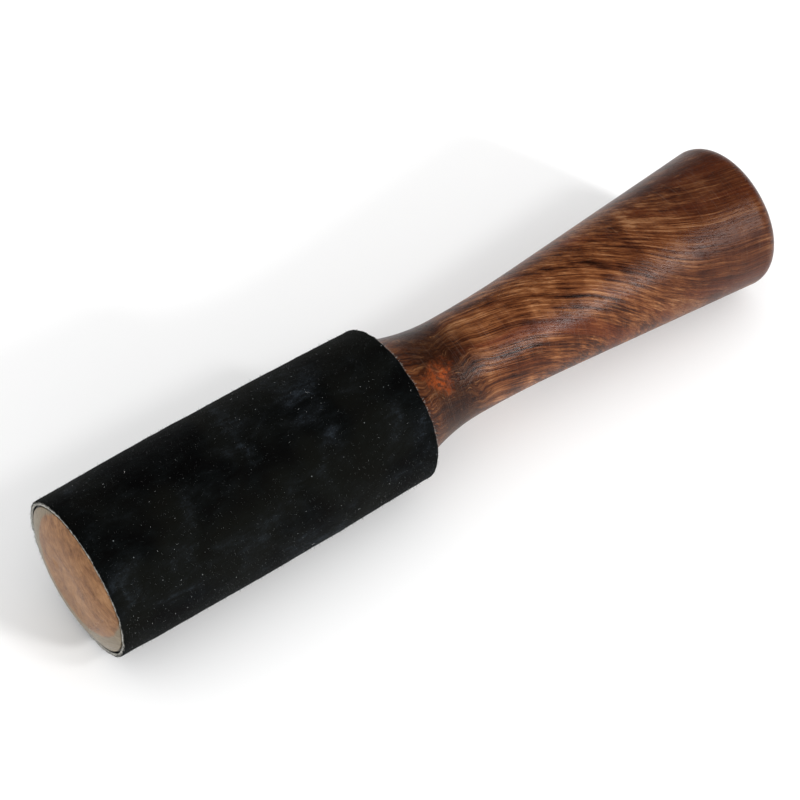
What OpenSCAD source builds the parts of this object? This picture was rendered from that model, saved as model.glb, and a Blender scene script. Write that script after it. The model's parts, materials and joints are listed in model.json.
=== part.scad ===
// Singing-bowl mallet: one turned wooden body whose head is wrapped in glued suede.
// It lies as it does on a table: head towards -X, butt towards +X, Z = 0 under it.
// Axial places below are measured from the suede's end beside the crown, towards the butt.

/* [Head] */
// Diameter over the suede at the middle of the head
head_d = 38; // [30:0.5:60]
// Length of the suede wrap along the axis
wrap_l = 80.5; // [60:0.5:120]
// How much smaller the head's radius is at the wrap's ends than at its middle
head_swell = 0.5; // [0.2:0.1:1.5]

/* [Suede] */
// Thickness of the suede
suede_t = 1.2; // [0.8:0.1:2.5]
// Rounding of the suede's cut edges
suede_edge_r = 0.5; // [0.2:0.1:0.7]
// Gap where the two ends of the suede strip meet
seam_gap = 0.4; // [0.2:0.1:1]
// Direction of that seam around the axis, from +Y towards +Z
seam_angle = -20; // [-180:5:180]

/* [Glue] */
// Thickness of the glue under the suede
glue_t = 0.25; // [0.1:0.05:0.5]
// How far the glue stays inside the suede's two ends
glue_setback = 0.5; // [0.2:0.1:2]

/* [Crown] */
// Diameter of the flat in the middle of the crown
crown_flat_d = 15; // [6:1:18]
// Radius of the arc that rounds the crown off to its edge
crown_r = 24; // [18:1:40]
// Angle at which that arc leaves the flat
crown_break = 2; // [1:0.5:5]

/* [Handle] */
// Length of the handle, from the suede to the butt
handle_l = 100; // [80:1:160]
// Diameter at the neck, the thinnest place
neck_d = 23.8; // [20:0.2:26]
// Distance from the suede to the neck
neck_dist = 18; // [12:1:24]
// Radius of the cove between head and neck
cove_r = 48; // [40:1:80]
// Radius of the sweep from the neck into the straight flare
sweep_r = 270; // [100:10:400]
// Largest diameter, at the butt
butt_d = 35; // [30:0.5:44]
// Rounding of the butt's edge
butt_edge_r = 4; // [1:0.5:7]

/* [Hidden] */

round_fn = 180;  // segments of a full turn, and of a small circle
arc_fn = 1440;   // segments of the large circles that shape the long curves
cut_past = 1;    // how far a cut runs past what it cuts

// Head: every layer shares the centre of one long arc, so the layers keep their thickness.
head_mid = wrap_l / 2;
swell_r = (head_mid * head_mid + head_swell * head_swell) / (2 * head_swell);
swell_centre = head_d / 2 - swell_r;
core_depth = suede_t + glue_t;
core_end_r = layer_r(core_depth, 0);

// Suede ends: a small circle that touches the end and meets the long arc at a slight angle
suede_edge_break = 15;
suede_edge_centre = layer_r(0, suede_edge_r) - suede_edge_r * cos(suede_edge_break);

// Crown: an arc that leaves the flat at a slight angle and ends on the core's end.
crown_flat_r = crown_flat_d / 2;
crown_centre = crown_flat_r - crown_r * sin(crown_break);
crown_centre_at = sqrt(pow(crown_r, 2) - pow(core_end_r - crown_centre, 2));
crown_h = crown_r * cos(crown_break) - crown_centre_at;

// Handle: a straight flare that touches both the sweep's circle and the butt's edge circle.
neck_r = neck_d / 2;
neck_at = wrap_l + neck_dist;
butt_at = wrap_l + handle_l;
edge_at = butt_at - butt_edge_r;
edge_centre = butt_d / 2 - butt_edge_r;
sweep_to_edge = [edge_at - neck_at, edge_centre - neck_r - sweep_r];
flare_angle = atan2(sweep_to_edge[1], sweep_to_edge[0])
    + asin((sweep_r + butt_edge_r) / norm(sweep_to_edge));
flare_at = neck_at + sweep_r * sin(flare_angle);
flare_end_at = edge_at - butt_edge_r * sin(flare_angle);
flare_end_r = edge_centre + butt_edge_r * cos(flare_angle);
flare_root_r = flare_end_r - (flare_end_at - neck_at) * tan(flare_angle);

// Rest: head and butt both touch the table, so the axis leans down towards the thinner one.
// The head touches with its long arc, or past the arc's end with the suede's edge there.
// Each spot is a circle of the profile: its place on the axis, its centre's radius, its radius.
arc_end_lean = asin(head_mid / swell_r);
arc_spot = [head_mid, swell_centre, swell_r];
far_spot = [wrap_l - suede_edge_r, suede_edge_centre, suede_edge_r];
near_spot = [suede_edge_r, suede_edge_centre, suede_edge_r];
rest_spot = lean_on(far_spot) > arc_end_lean ? far_spot
    : lean_on(near_spot) < -arc_end_lean ? near_spot : arc_spot;
rest_lean = lean_on(rest_spot);
rest_lift = rest_spot[2] + rest_spot[0] * sin(rest_lean) + rest_spot[1] * cos(rest_lean);

// Ends of the laid mallet along X: the crown's flat or its arc, and the butt's edge
x_flat = -crown_h * cos(rest_lean) - crown_flat_r * abs(sin(rest_lean));
x_arc = crown_centre_at * cos(rest_lean) - crown_centre * abs(sin(rest_lean)) - crown_r;
x_low = abs(rest_lean) < crown_break ? x_flat : x_arc;
x_high = edge_at * cos(rest_lean) + edge_centre * abs(sin(rest_lean)) + butt_edge_r;

// Lean of the axis when the mallet rests on such a spot and on the butt's edge
function lean_on(spot) =
    asin((spot[2] - butt_edge_r) / norm([edge_at - spot[0], edge_centre - spot[1]]))
    - atan2(edge_centre - spot[1], edge_at - spot[0]);

// Radius of the head at a place on the axis, a given depth under the suede's surface
function layer_r(depth, at) =
    swell_centre + sqrt(pow(swell_r - depth, 2) - pow(at - head_mid, 2));

// Profiles are drawn with the radius along X and the place on the axis along Y.
module band(r, from, to) {
    translate([0, from]) square([r, to - from]);
}

module layer_profile(depth, from, to) {
    intersection() {
        band(head_d / 2, from, to);
        translate([swell_centre, head_mid]) circle(r = swell_r - depth, $fn = arc_fn);
    }
}

module head_profile() {
    intersection() {
        layer_profile(core_depth, -crown_h, wrap_l);
        union() {
            band(crown_centre, -crown_h, crown_centre_at);
            translate([crown_centre, crown_centre_at]) circle(r = crown_r, $fn = round_fn);
            band(head_d / 2, crown_centre_at, wrap_l);
        }
    }
}

// The cove and the sweep are each cut by a circle whose lowest point is the neck.
module neck_profile() {
    difference() {
        band(head_d / 2, wrap_l, neck_at);
        translate([neck_r + cove_r, neck_at]) circle(r = cove_r, $fn = arc_fn);
    }
    difference() {
        band(head_d / 2, neck_at, flare_at);
        translate([neck_r + sweep_r, neck_at]) circle(r = sweep_r, $fn = arc_fn);
    }
}

// The flare's line runs on inside the neck as far as its thinnest place, so the two overlap.
module flare_profile() {
    polygon([
        [0, neck_at],
        [flare_root_r, neck_at],
        [flare_end_r, flare_end_at],
        [edge_centre, butt_at],
        [0, butt_at]
    ]);
    translate([edge_centre, edge_at]) circle(r = butt_edge_r, $fn = round_fn);
}

// The middle of the wood runs through every section, so they stay one piece.
module middle_profile() {
    band(neck_r / 2, 0, edge_at);
}

module suede_profile() {
    difference() {
        intersection() {
            layer_profile(0, 0, wrap_l);
            union() {
                band(head_d / 2, suede_edge_r, wrap_l - suede_edge_r);
                band(suede_edge_centre, 0, wrap_l);
                for (at = [suede_edge_r, wrap_l - suede_edge_r])
                    translate([suede_edge_centre, at])
                        circle(r = suede_edge_r, $fn = round_fn);
            }
        }
        layer_profile(suede_t, -cut_past, wrap_l + cut_past);
    }
}

// Lays what stands along +Z from the origin on the table, head towards -X.
module laid() {
    translate([-(x_low + x_high) / 2, 0, rest_lift])
        rotate([0, 90 + rest_lean, 0]) children();
}

module turned() {
    rotate_extrude($fn = round_fn) children();
}

// Slot between the two ends of the suede strip
module seam_slot() {
    rotate([0, 0, 90 + seam_angle])
        translate([0, -seam_gap / 2, -cut_past])
            cube([head_d / 2 + cut_past, seam_gap, wrap_l + 2 * cut_past]);
}

module wood_body() {
    color([0.33, 0.16, 0.09])
        laid() turned() {
            head_profile();
            neck_profile();
            flare_profile();
            middle_profile();
        }
}

module glue_film() {
    color([0.16, 0.12, 0.08])
        laid() turned()
            difference() {
                layer_profile(suede_t, glue_setback, wrap_l - glue_setback);
                layer_profile(core_depth, 0, wrap_l);
            }
}

module suede_wrap() {
    color([0.06, 0.065, 0.07])
        laid()
            difference() {
                turned() suede_profile();
                seam_slot();
            }
}

wood_body();
glue_film();
suede_wrap();
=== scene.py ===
"""Looks of the singing-bowl mallet: a body turned from dark wood, with a suede wrap on its head.

Lengths are millimetres, as in the part, unless a comment says metres; Blender gets metres.
Axis frame: u runs along the mallet's axis from the suede's end beside the crown to the butt,
y is the world's Y, and h points up from the axis. Angles round the axis go from y towards h.
"""
import json
import math
import random

import bpy
from mathutils import Matrix, Vector, noise


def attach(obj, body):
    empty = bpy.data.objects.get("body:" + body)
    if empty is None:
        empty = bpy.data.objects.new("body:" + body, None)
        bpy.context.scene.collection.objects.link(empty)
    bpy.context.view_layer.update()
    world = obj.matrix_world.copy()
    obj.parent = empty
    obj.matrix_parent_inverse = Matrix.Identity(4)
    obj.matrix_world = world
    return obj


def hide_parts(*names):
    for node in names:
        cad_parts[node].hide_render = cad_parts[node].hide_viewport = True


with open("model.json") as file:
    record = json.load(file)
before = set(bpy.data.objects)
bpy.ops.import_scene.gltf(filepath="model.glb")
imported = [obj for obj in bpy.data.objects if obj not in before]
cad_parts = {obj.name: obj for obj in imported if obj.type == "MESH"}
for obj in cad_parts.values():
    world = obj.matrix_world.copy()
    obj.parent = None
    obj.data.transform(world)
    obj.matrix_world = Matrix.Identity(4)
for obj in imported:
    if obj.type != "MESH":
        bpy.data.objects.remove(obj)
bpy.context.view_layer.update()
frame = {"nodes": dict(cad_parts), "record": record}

MM = 0.001    # metres in a millimetre
TO_MM = 1000  # millimetres in a metre

# Sizes of the part
HEAD_D = 38.0
WRAP_L = 80.5
HEAD_SWELL = 0.5
SUEDE_T = 1.2
SUEDE_EDGE_R = 0.5
SEAM_GAP = 0.4
SEAM_ANGLE = math.radians(-20)
HANDLE_L = 100.0

HEAD_MID = WRAP_L / 2
SWELL_R = (HEAD_MID**2 + HEAD_SWELL**2) / (2 * HEAD_SWELL)
SWELL_CENTRE = HEAD_D / 2 - SWELL_R

# The axis frame, from the record's butt mount; its origin is in the suede's end by the crown
butt_mount = next(m for m in frame["record"]["mounts"] if m["name"] == "butt_face")
AXIS = Vector(butt_mount["axis"]).normalized()
SIDE = Vector((0, 1, 0))
ABOVE = AXIS.cross(SIDE)
RIM = Vector(butt_mount["pos_m"]) - AXIS * (WRAP_L + HANDLE_L) * MM

# Angles round the axis: the side that faces the camera, and the side the wood's fibres lean to
FACING = math.radians(123.2)
LEANING = FACING + math.radians(90)

# Figure of the wood, in places along the axis, sideways where the fibres lean, and away from
# the camera. The fibres rise by SLANT for each millimetre of the axis, with a wave on top.
SLANT = 0.42
WAVE_MID, WAVE_RATE, WAVE_HEIGHT = 140.0, 0.0785, 3.6
BURL_FROM, BURL_FULL_FROM, BURL_FULL_TO, BURL_TO = 80.0, 88.0, 92.0, 104.0
GLOW_CENTRE = (88.8, 0.4, -12.8)
GLOW_FULL_R, GLOW_R = 3.6, 8.6
MAROON_FROM, MAROON_TO = 128.0, 172.0
CROWN_FULL_TO, CROWN_TO = 2.0, 6.0
# The crown's painted reflection: the centre of the grey band, and the radii where it starts and
# is full
REFLECTION_CENTRE = (-0.5, -6.2)
REFLECTION_FROM_R, REFLECTION_FULL_R = 13.7, 14.6
# Painted shade by the suede's far rim: where it is full, and where it has faded out
SUEDE_SHADE_FULL_TO, SUEDE_SHADE_TO = WRAP_L - 0.3, 84.5
RUB_START, RUB_SLANT = 13.7, 0.085  # sideways place where u is 0, and its fall along the axis
RUB_FULL_HALF, RUB_HALF = 1.5, 6.0

# Wear of the suede: (height, size) of each layer of unevenness
SWELLS = ((0.10, 15.0), (0.06, 4.0), (0.05, 1.3))
SWELL_MEAN = 0.07
RAGS = ((0.16, 2.2), (0.12, 0.7))
RAG_REACH = 1.0
RIM_LIFT, RIM_REACH = 0.45, 2.2
BACK_LIFT, BACK_REACH = 0.22, 0.7

# Hairs and lint start no lower than this above the floor.
HAIR_CLEAR = 1.2
LINT_CLEAR = 1.5

# Camera: where it stands round the mallet, and the point it looks at
CAM_AZIMUTH = math.radians(-36.42)
CAM_ELEVATION = math.radians(51.01)
CAM_DISTANCE = 552.5
CAM_TARGET = (-5.63, -0.19, 18.0)
CAM_LENS = 112.5

# Stage, in metres and watts. A softbox has its direction, the side of its square and its power.
SOFTBOXES = {
    "softbox": ((0.335, -0.65, 0.682), 0.20, 4.2),
    "low_softbox": ((0.342, -0.847, 0.407), 0.20, 11.5),
}
SOFTBOX_DISTANCE = 1.5
FLOOR_HALF = 6.0

# Colours along each ramp, from dark to light, in 0 to 255 display values
WOOD_TONES = (
    (0.05, (24, 7, 2)),
    (0.26, (52, 22, 8)),
    (0.46, (84, 43, 19)),
    (0.62, (108, 62, 32)),
    (0.78, (130, 82, 48)),
    (0.95, (160, 112, 74)),
)
CROWN_TONES = (
    (0.25, (96, 62, 36)),
    (0.45, (130, 89, 56)),
    (0.60, (148, 106, 68)),
    (0.80, (170, 126, 86)),
)
GLUE_TONES = ((0.3, (22, 15, 10)), (0.6, (52, 38, 25)), (0.8, (92, 74, 52)))
SUEDE_TONES = (
    (0.30, (1, 1, 1)),
    (0.50, (3, 5, 5)),
    (0.66, (11, 14, 16)),
    (0.82, (28, 33, 38)),
    (0.95, (44, 51, 56)),
)
CUT_TONES = ((0.34, (60, 62, 60)), (0.46, (150, 150, 145)), (0.60, (226, 224, 216)))


def srgb(red, green, blue):
    """A colour given in 0 to 255 display values, as linear RGBA."""
    def linear(v):
        v /= 255
        return v / 12.92 if v <= 0.04045 else ((v + 0.055) / 1.055) ** 2.4
    return (linear(red), linear(green), linear(blue), 1.0)


def to_world(u, y, h):
    """A point of the axis frame, in millimetres, as a world point in metres."""
    return RIM + (AXIS * u + SIDE * y + ABOVE * h) * MM


def layer_r(depth, u):
    """Radius of the head at u, a depth under the suede's surface."""
    return SWELL_CENTRE + math.sqrt((SWELL_R - depth) ** 2 - (u - HEAD_MID) ** 2)


class Shader:
    """Short calls for building one material's nodes."""

    def __init__(self, name):
        self.mat = bpy.data.materials.new(name)
        self.mat.use_nodes = True
        self.tree = self.mat.node_tree
        self.tree.nodes.clear()

    def node(self, kind, inputs=(), **props):
        made = self.tree.nodes.new(kind)
        for key, value in props.items():
            setattr(made, key, value)
        for key, value in dict(inputs).items():
            self.feed(made.inputs[key], value)
        return made

    def feed(self, socket, value):
        if isinstance(value, bpy.types.NodeSocket):
            self.tree.links.new(value, socket)
        else:
            socket.default_value = value

    def math(self, operation, a, b=0.0):
        return self.node("ShaderNodeMath", {0: a, 1: b}, operation=operation).outputs[0]

    def add(self, *terms):
        total = terms[0]
        for term in terms[1:]:
            total = self.math("ADD", total, term)
        return total

    def times(self, a, b):
        return self.math("MULTIPLY", a, b)

    def subtract(self, a, b):
        return self.math("SUBTRACT", a, b)

    def distance(self, parts, centre):
        """How far the coordinates are from a centre."""
        gaps = [self.subtract(part, c) for part, c in zip(parts, centre)]
        return self.math("SQRT", self.add(*(self.times(gap, gap) for gap in gaps)))

    def span(self, value, low, high, out_low=0.0, out_high=1.0):
        """A smooth step from low to high; low may be the larger one."""
        made = self.node(
            "ShaderNodeMapRange",
            {0: value, 1: low, 2: high, 3: out_low, 4: out_high},
            interpolation_type="SMOOTHSTEP",
            clamp=True,
        )
        return made.outputs[0]

    def vector(self, x, y, z):
        return self.node("ShaderNodeCombineXYZ", {0: x, 1: y, 2: z}).outputs[0]

    def split(self, vector):
        return self.node("ShaderNodeSeparateXYZ", {0: vector}).outputs

    def stretch(self, parts, scales):
        """The coordinates, each scaled: large scales make fine pattern in that direction."""
        return self.vector(*(self.times(p, s) for p, s in zip(parts, scales)))

    def noise(self, vector, scale=1.0, detail=3.0, rough=0.55, distort=0.0):
        made = self.node(
            "ShaderNodeTexNoise",
            {"Vector": vector, "Scale": scale, "Detail": detail, "Roughness": rough,
             "Distortion": distort},
        )
        return made.outputs[0]

    def grain(self, parts, scales, **settings):
        """Noise on stretched coordinates."""
        return self.noise(self.stretch(parts, scales), **settings)

    def noise_vector(self, vector, scale, detail=2.0):
        """Noise with three parts, each centred on zero, to push coordinates about with."""
        made = self.node(
            "ShaderNodeTexNoise", {"Vector": vector, "Scale": scale, "Detail": detail}
        )
        centred = self.node(
            "ShaderNodeVectorMath", {0: made.outputs[1], 1: (0.5, 0.5, 0.5)},
            operation="SUBTRACT",
        )
        return centred.outputs[0]

    def push(self, vector, by, amount):
        scaled = self.node("ShaderNodeVectorMath", {0: by, "Scale": amount}, operation="SCALE")
        added = self.node(
            "ShaderNodeVectorMath", {0: vector, 1: scaled.outputs[0]}, operation="ADD"
        )
        return added.outputs[0]

    def ramp(self, value, stops):
        made = self.node("ShaderNodeValToRGB", {0: value})
        elements = made.color_ramp.elements
        while len(elements) < len(stops):
            elements.new(0.5)
        for element, (place, tone) in zip(elements, stops):
            element.position = place
            element.color = srgb(*tone)
        return made.outputs[0]

    def mix(self, share, a, b):
        made = self.node("ShaderNodeMix", data_type="RGBA")
        self.feed(made.inputs[0], share)
        self.feed(made.inputs[6], a)
        self.feed(made.inputs[7], b)
        return made.outputs[2]

    def place(self, *directions):
        """Coordinates in millimetres from the axis frame's origin, along three directions."""
        source = self.node("ShaderNodeTexCoord").outputs["Object"]
        euler = Matrix(directions).transposed().to_euler()
        made = self.node(
            "ShaderNodeMapping",
            {"Vector": source, "Location": RIM, "Rotation": euler, "Scale": (MM, MM, MM)},
            vector_type="TEXTURE",
        )
        return made.outputs[0]

    def bump(self, height, distance, strength):
        inputs = {"Height": height, "Distance": distance, "Strength": strength}
        return self.node("ShaderNodeBump", inputs).outputs[0]

    def finish(self, **inputs):
        """Closes the material with a Principled shader."""
        shader = self.node("ShaderNodeBsdfPrincipled")
        for key, value in inputs.items():
            self.feed(shader.inputs[key.replace("_", " ")], value)
        output = self.node("ShaderNodeOutputMaterial")
        self.tree.links.new(shader.outputs[0], output.inputs[0])
        return self.mat


def wood_figure(s, place, burl):
    """Parts of the wood's figure and its painted sheen, each a noise that follows the slanting
    fibres.
    """
    gentle = s.push(place, s.noise_vector(place, 0.035), 3.2)
    swirled = s.push(gentle, s.noise_vector(place, 0.13, 3.0), s.times(burl, 11.0))
    u, t, d = s.split(swirled)

    # The slant is steepest in the middle of the handle.
    wave = s.math("SINE", s.times(s.subtract(u, WAVE_MID), WAVE_RATE))
    slant = s.add(s.times(u, SLANT), s.times(wave, WAVE_HEIGHT))
    q = s.subtract(t, slant)
    along_fibres = (u, q, d)
    across_fibres = (u, s.add(q, s.times(u, 0.5)), d)
    return {
        "bands": s.grain(along_fibres, (0.012, 0.16, 0.05), detail=2.0, distort=0.3),
        "streaks": s.grain(along_fibres, (0.028, 1.25, 0.28), detail=5.0, rough=0.70),
        "fibres": s.grain(along_fibres, (0.09, 4.6, 0.8), rough=0.75),
        # Painted sheen: bands across the fibres stand in for the wood's chatoyance, the shimmer
        # of light that moves as it turns.
        "painted_sheen": s.grain(across_fibres, (0.16, 0.05, 0.04)),
        "bright": s.span(
            s.grain(along_fibres, (0.06, 2.2, 0.8), detail=2.0, rough=0.6), 0.62, 0.74
        ),
        "pores": s.span(s.grain(along_fibres, (0.55, 8.0, 4.0), detail=1.0), 0.62, 0.72),
        "red": s.span(s.grain(along_fibres, (0.02, 0.2, 0.1)), 0.50, 0.68),
    }


def handle_colour(s, place, along, burl, figure):
    # The tone takes in the painted sheen of the chatoyance bands.
    tone = s.add(
        s.times(figure["bands"], 0.75), s.times(figure["streaks"], 2.00),
        s.times(figure["fibres"], 1.25), s.times(figure["painted_sheen"], 0.90), -1.96,
    )
    colour = s.ramp(tone, WOOD_TONES)
    colour = s.mix(s.times(figure["red"], 0.45), colour, srgb(98, 42, 16))

    # The butt's half of the flare is a darker maroon.
    maroon = s.times(s.span(along, MAROON_FROM, MAROON_TO), 0.60)
    colour = s.mix(maroon, colour, srgb(58, 26, 14))

    # The neck is darker, with one glowing orange patch in its burl.
    colour = s.mix(s.times(burl, 0.85), colour, srgb(30, 10, 3))
    far = s.distance(s.split(place), GLOW_CENTRE)
    far = s.add(far, s.times(s.noise(place, 0.45), 7.0))
    flecks = s.span(s.noise(place, 1.1, 4.0, 0.7), 0.38, 0.60, 0.15, 0.95)
    glow = s.times(s.span(far, GLOW_R, GLOW_FULL_R), flecks)
    colour = s.mix(glow, colour, srgb(138, 60, 16))

    colour = s.mix(s.times(figure["bright"], 0.32), colour, srgb(158, 110, 70))
    return s.mix(s.times(figure["pores"], 0.40), colour, srgb(26, 10, 5))


def crown_colour(s, place):
    """Paler end grain, whose figure runs the long way of the fibres' lean."""
    end = s.push(place, s.noise_vector(place, 0.09, 3.0), 6.0)
    end_parts = s.split(end)
    broad = s.grain(end_parts, (0.2, 0.07, 0.40), rough=0.6)
    fine = s.grain(end_parts, (0.6, 0.6, 3.6), rough=0.7)
    mottle = s.noise(end, 0.45, 4.0, 0.65)
    tone = s.add(s.times(broad, 0.5), s.times(fine, 0.75), s.times(mottle, 0.85), -0.52)
    colour = s.ramp(tone, CROWN_TONES)

    # Painted reflection: one side of its rounded edge is painted a duller grey, standing in for
    # the white floor that the lacquer reflects there.
    _, t, d = s.split(s.push(place, s.noise_vector(place, 0.25), 1.6))
    painted_reflection = s.span(s.distance((t, d), REFLECTION_CENTRE), REFLECTION_FROM_R, REFLECTION_FULL_R)
    reflection_grey = s.mix(s.span(fine, 0.35, 0.65), srgb(110, 102, 82), srgb(138, 131, 111))
    return s.mix(s.times(painted_reflection, 0.80), colour, reflection_grey)


def wood_material():
    s = Shader("turned_wood")
    lean_to = outward(LEANING)
    place = s.place(AXIS, lean_to, AXIS.cross(lean_to))
    parts = s.split(place)
    along, across, _ = parts
    burl = s.times(
        s.span(along, BURL_FROM, BURL_FULL_FROM), s.span(along, BURL_TO, BURL_FULL_TO)
    )
    figure = wood_figure(s, place, burl)
    colour = handle_colour(s, place, along, burl, figure)
    crown = s.span(along, CROWN_TO, CROWN_FULL_TO)
    colour = s.mix(crown, colour, crown_colour(s, place))

    # Painted shade: darker wood where the handle goes under the suede, fading out a few
    # millimetres past its rim
    suede_shade = s.times(s.span(along, SUEDE_SHADE_TO, SUEDE_SHADE_FULL_TO), s.span(along, 40.0, 60.0))
    colour = s.mix(s.times(suede_shade, 0.6), colour, srgb(34, 16, 10))

    # Fine rings left by the lathe: an unevenness of the polish, and in places pale scratches
    rings = s.grain(parts, (3.2, 0.015, 0.015), rough=0.8)
    patchy = s.noise(place, 0.06)
    scratch = s.grain(parts, (11.0, 0.12, 0.12), detail=1.0)
    scratch = s.times(s.span(scratch, 0.64, 0.72), s.span(patchy, 0.50, 0.62))
    colour = s.mix(s.times(scratch, 0.12), colour, srgb(176, 150, 132))

    # The strip the hand rubs most is smoother: it slants across the handle to the butt.
    from_rubbed = s.add(across, s.times(along, RUB_SLANT), -RUB_START)
    unrubbed = s.span(s.math("ABSOLUTE", from_rubbed), RUB_FULL_HALF, RUB_HALF)
    grit = s.noise(place, 2.2, rough=0.7)
    rough = s.add(
        s.times(patchy, 0.10), s.times(figure["fibres"], 0.16), s.times(figure["pores"], 0.20),
        s.times(rings, 0.10), s.times(scratch, 0.2), s.times(unrubbed, 0.10), 0.05,
    )
    height = s.add(
        s.times(figure["streaks"], 0.25), s.times(figure["fibres"], 0.35),
        s.times(figure["pores"], -0.8), s.times(rings, 0.30), s.times(grit, 0.45),
    )
    return s.finish(
        Base_Color=colour, Roughness=rough, Normal=s.bump(height, 0.12 * MM, 0.8),
        IOR=1.33, Specular_IOR_Level=0.28,
    )


def glue_material():
    s = Shader("glue")
    lumps = s.noise(s.place(AXIS, SIDE, ABOVE), 0.8, 4.0, 0.65)
    return s.finish(
        Base_Color=s.ramp(lumps, GLUE_TONES), Roughness=s.span(lumps, 0.3, 0.7, 0.3, 0.65),
        Normal=s.bump(lumps, 0.2 * MM, 0.8),
    )


def suede_material():
    s = Shader("suede")
    place = s.place(AXIS, SIDE, ABOVE)
    u, y, h = s.split(place)
    warped = s.push(place, s.noise_vector(place, 0.11), 5.0)
    clouds = s.noise(warped, 0.085, 6.0, 0.62, 0.5)
    brushed = s.grain(s.split(warped), (0.25, 0.8, 0.8), detail=4.0, rough=0.65)
    nap = s.noise(place, 2.6, 4.0, 0.75)
    tone = s.add(s.times(clouds, 1.7), s.times(brushed, 0.65), s.times(nap, 0.60), -0.98)
    colour = s.ramp(tone, SUEDE_TONES)
    olive = s.span(s.noise(place, 0.045, 2.0), 0.45, 0.62)
    colour = s.mix(s.times(olive, 0.5), colour, srgb(13, 14, 9))

    # Pin-pricks of pale dust
    cells = s.node("ShaderNodeTexVoronoi", {"Vector": place, "Scale": 0.5})
    chosen = s.span(s.split(cells.outputs["Color"])[0], 0.86, 0.90)
    dot = s.span(cells.outputs["Distance"], 0.065, 0.035)
    colour = s.mix(s.times(s.times(chosen, dot), 0.75), colour, srgb(150, 156, 158))

    # Pale fibres where the hide was cut, at both ends, but not right out to the surface
    from_mid = s.math("ABSOLUTE", s.subtract(u, HEAD_MID))
    to_end = s.subtract(HEAD_MID, from_mid)
    to_end = s.add(to_end, s.times(s.noise(place, 1.6, rough=0.7), 0.35), -0.17)
    inward = s.subtract(HEAD_D / 2 - HEAD_SWELL, s.distance((y, h), (0.0, 0.0)))
    inward = s.add(inward, s.times(s.noise(place, 1.9, rough=0.75), 1.3))
    cut = s.times(s.span(to_end, 0.30, 0.05), s.span(inward, 1.00, 1.35))
    fray = s.noise(place, 3.2, rough=0.8)
    colour = s.mix(cut, colour, s.ramp(fray, CUT_TONES))

    height = s.add(s.times(nap, 0.6), s.times(brushed, 0.4), s.times(fray, 0.4))
    return s.finish(
        Base_Color=colour, Roughness=0.95, Normal=s.bump(height, 0.25 * MM, 0.9),
        Specular_IOR_Level=0.08, Sheen_Weight=0.03, Sheen_Roughness=0.4,
        Sheen_Tint=srgb(150, 158, 160),
    )


def thread_material(name, dark, light):
    s = Shader(name)
    place = s.place(AXIS, SIDE, ABOVE)
    tone = s.noise(place, 1.1, rough=0.7)
    return s.finish(
        Base_Color=s.ramp(tone, ((0.3, dark), (0.7, light))), Roughness=0.9,
        Specular_IOR_Level=0.3, Sheen_Weight=0.2,
        Normal=s.bump(s.noise(place, 9.0, 2.0), 0.03 * MM, 0.5),
    )


def rough_at(x, y, z, size):
    """Smooth noise from about -1 to 1 with features of that size."""
    return noise.noise(Vector((x, y, z)) / size)


def uneven(x, y, z, layers):
    return sum(height * rough_at(x, y, z, size) for height, size in layers)


def rim_lift(angle, to_end):
    """How far the suede's cut end has come away from the wood, by place round the rim."""
    lift = noise.noise(Vector((math.cos(angle) * 1.6, math.sin(angle) * 1.6, 7.3)))
    reach = max(0.0, 1 - to_end / RIM_REACH) ** 2
    return RIM_LIFT * max(0.0, lift) * reach


def suede_point(u, depth, angle):
    """World point of the worn suede at a place of its cross-section and an angle round it."""
    r = layer_r(depth, u)
    y, h = r * math.cos(angle), r * math.sin(angle)
    outer = max(0.0, min(1.0, (SUEDE_T - depth) / (SUEDE_T - SUEDE_EDGE_R)))
    to_end = min(u, WRAP_L - u)
    r += outer * (uneven(u, y, h, SWELLS) - SWELL_MEAN) + rim_lift(angle, to_end)
    r += BACK_LIFT * max(0.0, 1 - to_end / BACK_REACH) * (1 - outer)
    if to_end < RAG_REACH:
        ragged = uneven(u, y, h, RAGS)
        u += ragged * (RAG_REACH - to_end) * (-1 if u < HEAD_MID else 1)
    place = to_world(u, r * math.cos(angle), r * math.sin(angle))
    place.z = max(place.z, 0.0)
    return place


def cross_section():
    """Places (u, depth) round the suede strip's cross-section."""
    e = SUEDE_EDGE_R
    along, corner, face, back = 200, 5, 3, 60
    loop = [(e + (WRAP_L - 2 * e) * i / along, 0.0) for i in range(along)]
    turns = [math.pi / 2 * i / corner for i in range(corner + 1)]
    loop += [(WRAP_L - e + e * math.sin(a), e - e * math.cos(a)) for a in turns]
    steps = [e + (SUEDE_T - e) * i / face for i in range(1, face)]
    loop += [(WRAP_L, depth) for depth in steps]
    loop += [(WRAP_L * (1 - i / back), SUEDE_T) for i in range(back + 1)]
    loop += [(0.0, depth) for depth in reversed(steps)]
    loop += [(e - e * math.sin(a), e - e * math.cos(a)) for a in reversed(turns[1:])]
    return loop


def mesh_object(name, verts, faces, material):
    mesh = bpy.data.meshes.new(name)
    mesh.from_pydata(verts, [], faces)
    mesh.validate()
    mesh.update()
    mesh.polygons.foreach_set("use_smooth", [True] * len(mesh.polygons))
    mesh.materials.append(material)
    made = bpy.data.objects.new(name, mesh)
    bpy.context.scene.collection.objects.link(made)
    return made


def make_suede(material):
    loop = cross_section()
    rings = 300
    half_gap = SEAM_GAP / 2 / (HEAD_D / 2)
    start, turn = SEAM_ANGLE + half_gap, 2 * math.pi - 2 * half_gap
    verts = [
        suede_point(u, depth, start + turn * ring / rings)
        for ring in range(rings + 1) for u, depth in loop
    ]
    n = len(loop)
    faces = [
        (ring * n + i, ring * n + (i + 1) % n, (ring + 1) * n + (i + 1) % n, (ring + 1) * n + i)
        for ring in range(rings) for i in range(n)
    ]
    # The two ends of the strip, each closed by one face
    last = rings * n
    faces.append(tuple(range(n)))
    faces.append(tuple(reversed(range(last, last + n))))
    return mesh_object("suede", verts, faces, material)


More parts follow.
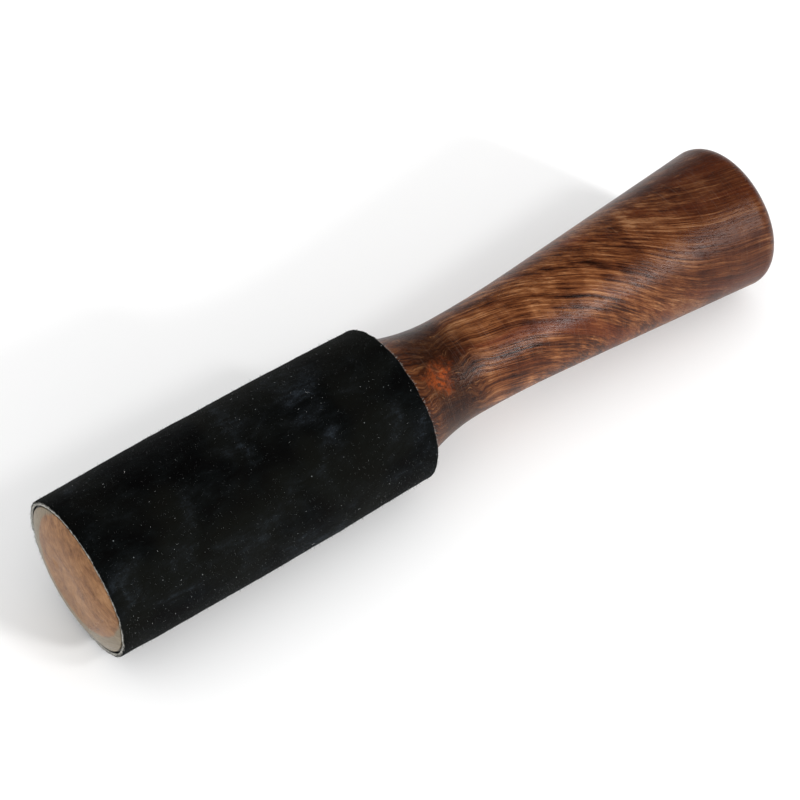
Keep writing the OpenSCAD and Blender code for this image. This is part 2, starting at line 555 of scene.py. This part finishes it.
def fibre(verts, faces, root, direction, bend, length, radius):
    """Adds one tapered, bent hair as a closed three-sided tube."""
    side = direction.orthogonal().normalized()
    across = direction.cross(side)
    first = len(verts)
    for step, thick in ((0.0, 1.0), (0.5, 0.8)):
        centre = root + direction * length * step + bend * length * step * step
        for k in range(3):
            a = 2 * math.pi * k / 3
            verts.append(centre + (side * math.cos(a) + across * math.sin(a)) * radius * thick)
    verts.append(root + direction * length + bend * length)
    a, b, c, d, e, f, tip = range(first, first + 7)
    faces += [(c, b, a), (a, b, e, d), (b, c, f, e), (c, a, d, f)]
    faces += [(d, e, tip), (e, f, tip), (f, d, tip)]


def outward(angle):
    return SIDE * math.cos(angle) + ABOVE * math.sin(angle)


def random_unit(rng):
    return Vector((rng.gauss(0, 1), rng.gauss(0, 1), rng.gauss(0, 1))).normalized()


def make_nap(material, count=8000):
    """Short hairs all over the suede, which soften its outline."""
    rng = random.Random(11)
    verts, faces = [], []
    for _ in range(count):
        u, angle = rng.uniform(0.3, WRAP_L - 0.3), rng.uniform(0, 2 * math.pi)
        root = suede_point(u, 0.08, angle)
        lean = (outward(angle) + random_unit(rng) * 0.9).normalized()
        bend = random_unit(rng) * 0.5
        length = rng.uniform(0.2, 0.65) * MM
        if root.z > HAIR_CLEAR * MM:
            fibre(verts, faces, root, lean, bend, length, rng.uniform(0.02, 0.036) * MM)
    return mesh_object("suede_nap", verts, faces, material)


def make_fray(material, per_end=900):
    """Pale hairs that stand out of the suede's cut ends."""
    rng = random.Random(23)
    verts, faces = [], []
    for end, out in ((0.0, -1), (WRAP_L, 1)):
        for _ in range(per_end):
            angle, depth = rng.uniform(0, 2 * math.pi), rng.uniform(0.15, 1.1)
            root = suede_point(end - out * 0.05, depth, angle)
            lean = AXIS * out + outward(angle) * rng.uniform(-0.6, 0.9)
            lean = (lean + random_unit(rng) * 0.8).normalized()
            bend = random_unit(rng) * 0.6
            length = rng.uniform(0.15, 0.5) * MM
            if root.z > HAIR_CLEAR * MM:
                fibre(verts, faces, root, lean, bend, length, rng.uniform(0.02, 0.045) * MM)
    return mesh_object("suede_fray", verts, faces, material)


def make_lint(material, specks=420, threads=24):
    """Loose pale lint caught on the suede: mostly specks, and a few curled threads."""
    rng = random.Random(5)
    verts, faces = [], []
    for i in range(specks + threads):
        thread = i >= specks
        u, angle = rng.uniform(1.0, WRAP_L - 1.0), rng.uniform(0, 2 * math.pi)
        root = suede_point(u, -0.05, angle)
        flat = random_unit(rng).cross(outward(angle)).normalized()
        lean = (flat + outward(angle) * rng.uniform(0.0, 0.15)).normalized()
        bend = flat.cross(outward(angle)) * rng.uniform(-0.9, 0.9)
        length = (rng.uniform(0.6, 1.4) if thread else rng.uniform(0.06, 0.20)) * MM
        radius = (rng.uniform(0.018, 0.030) if thread else rng.uniform(0.02, 0.055)) * MM
        caught = rough_at(*root * TO_MM, 14.0) + rng.uniform(-0.5, 0.5) > 0.05
        if caught and root.z > LINT_CLEAR * MM:
            fibre(verts, faces, root, lean, bend, length, radius)
    return mesh_object("suede_lint", verts, faces, material)


def make_floor():
    s = Shader("floor")
    place = s.node("ShaderNodeTexCoord").outputs["Object"]
    colour = s.mix(s.noise(place, 3.0), srgb(246, 246, 246), srgb(250, 250, 250))
    half = FLOOR_HALF
    floor = mesh_object(
        "floor", [(-half, -half, 0), (half, -half, 0), (half, half, 0), (-half, half, 0)],
        [(0, 1, 2, 3)], s.finish(Base_Color=colour, Roughness=0.9, Specular_IOR_Level=0.1),
    )


def make_surround():
    """A pale surround at the horizon that darkens overhead."""
    world = bpy.data.worlds.new("surround")
    bpy.context.scene.world = world
    world.use_nodes = True
    tree = world.node_tree
    tree.nodes.clear()
    direction = tree.nodes.new("ShaderNodeTexCoord")
    split = tree.nodes.new("ShaderNodeSeparateXYZ")
    height = tree.nodes.new("ShaderNodeMapRange")
    for socket, value in (
        ("From Min", 0.06), ("From Max", 0.30), ("To Min", 0.6), ("To Max", 0.02),
    ):
        height.inputs[socket].default_value = value
    background = tree.nodes.new("ShaderNodeBackground")
    output = tree.nodes.new("ShaderNodeOutputWorld")
    tree.links.new(direction.outputs["Generated"], split.inputs[0])
    tree.links.new(split.outputs["Z"], height.inputs["Value"])
    tree.links.new(height.outputs["Result"], background.inputs["Strength"])
    tree.links.new(background.outputs[0], output.inputs[0])


def make_lamps():
    """A broad fill that leaves no reflection, and the softboxes that make the highlight."""
    fill = add_lamp("fill", "SUN", Vector((0.0, 0.0, 1.0)))
    fill.data.energy = 2.9
    fill.data.angle = math.radians(170)
    fill.visible_glossy = False
    for name, (towards, side, power) in SOFTBOXES.items():
        towards = Vector(towards).normalized()
        lamp = add_lamp(name, "AREA", towards)
        lamp.location = towards * SOFTBOX_DISTANCE
        lamp.data.size = side
        lamp.data.energy = power


def add_lamp(name, kind, towards):
    """A lamp of that kind whose light comes from the direction towards."""
    made = bpy.data.objects.new(name, bpy.data.lights.new(name, kind))
    bpy.context.scene.collection.objects.link(made)
    made.rotation_mode = "QUATERNION"
    made.rotation_quaternion = towards.to_track_quat("Z", "Y")
    return made


def set_camera():
    camera = bpy.data.objects.new("camera", bpy.data.cameras.new("camera"))
    bpy.context.scene.collection.objects.link(camera)
    bpy.context.scene.camera = camera
    camera.data.sensor_width = 36
    camera.data.lens = CAM_LENS
    camera.data.clip_start = 0.01
    camera.data.clip_end = 50
    flat = math.cos(CAM_ELEVATION)
    back = Vector((
        math.sin(CAM_AZIMUTH) * flat, -math.cos(CAM_AZIMUTH) * flat, math.sin(CAM_ELEVATION)
    ))
    camera.location = (Vector(CAM_TARGET) + back * CAM_DISTANCE) * MM
    camera.rotation_mode = "QUATERNION"
    camera.rotation_quaternion = (-back).to_track_quat("-Z", "Y")


def set_look():
    view = bpy.context.scene.view_settings
    view.view_transform = "Standard"
    view.look = "None"
    view.exposure = 0
    view.gamma = 1


set_camera()
set_look()
make_floor()
make_surround()
make_lamps()

for node, material in (("wood_body", wood_material()), ("glue_film", glue_material())):
    for material_slot in frame["nodes"][node].material_slots:
        material_slot.material = material

suede = make_suede(suede_material())
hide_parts("suede_wrap")
nap = make_nap(thread_material("suede_hair", (5, 6, 6), (26, 29, 31)))
fray = make_fray(thread_material("cut_hair", (96, 97, 95), (190, 188, 180)))
lint = make_lint(thread_material("lint", (150, 154, 156), (228, 230, 230)))
for piece in (suede, nap, fray, lint):
    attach(piece, "root")
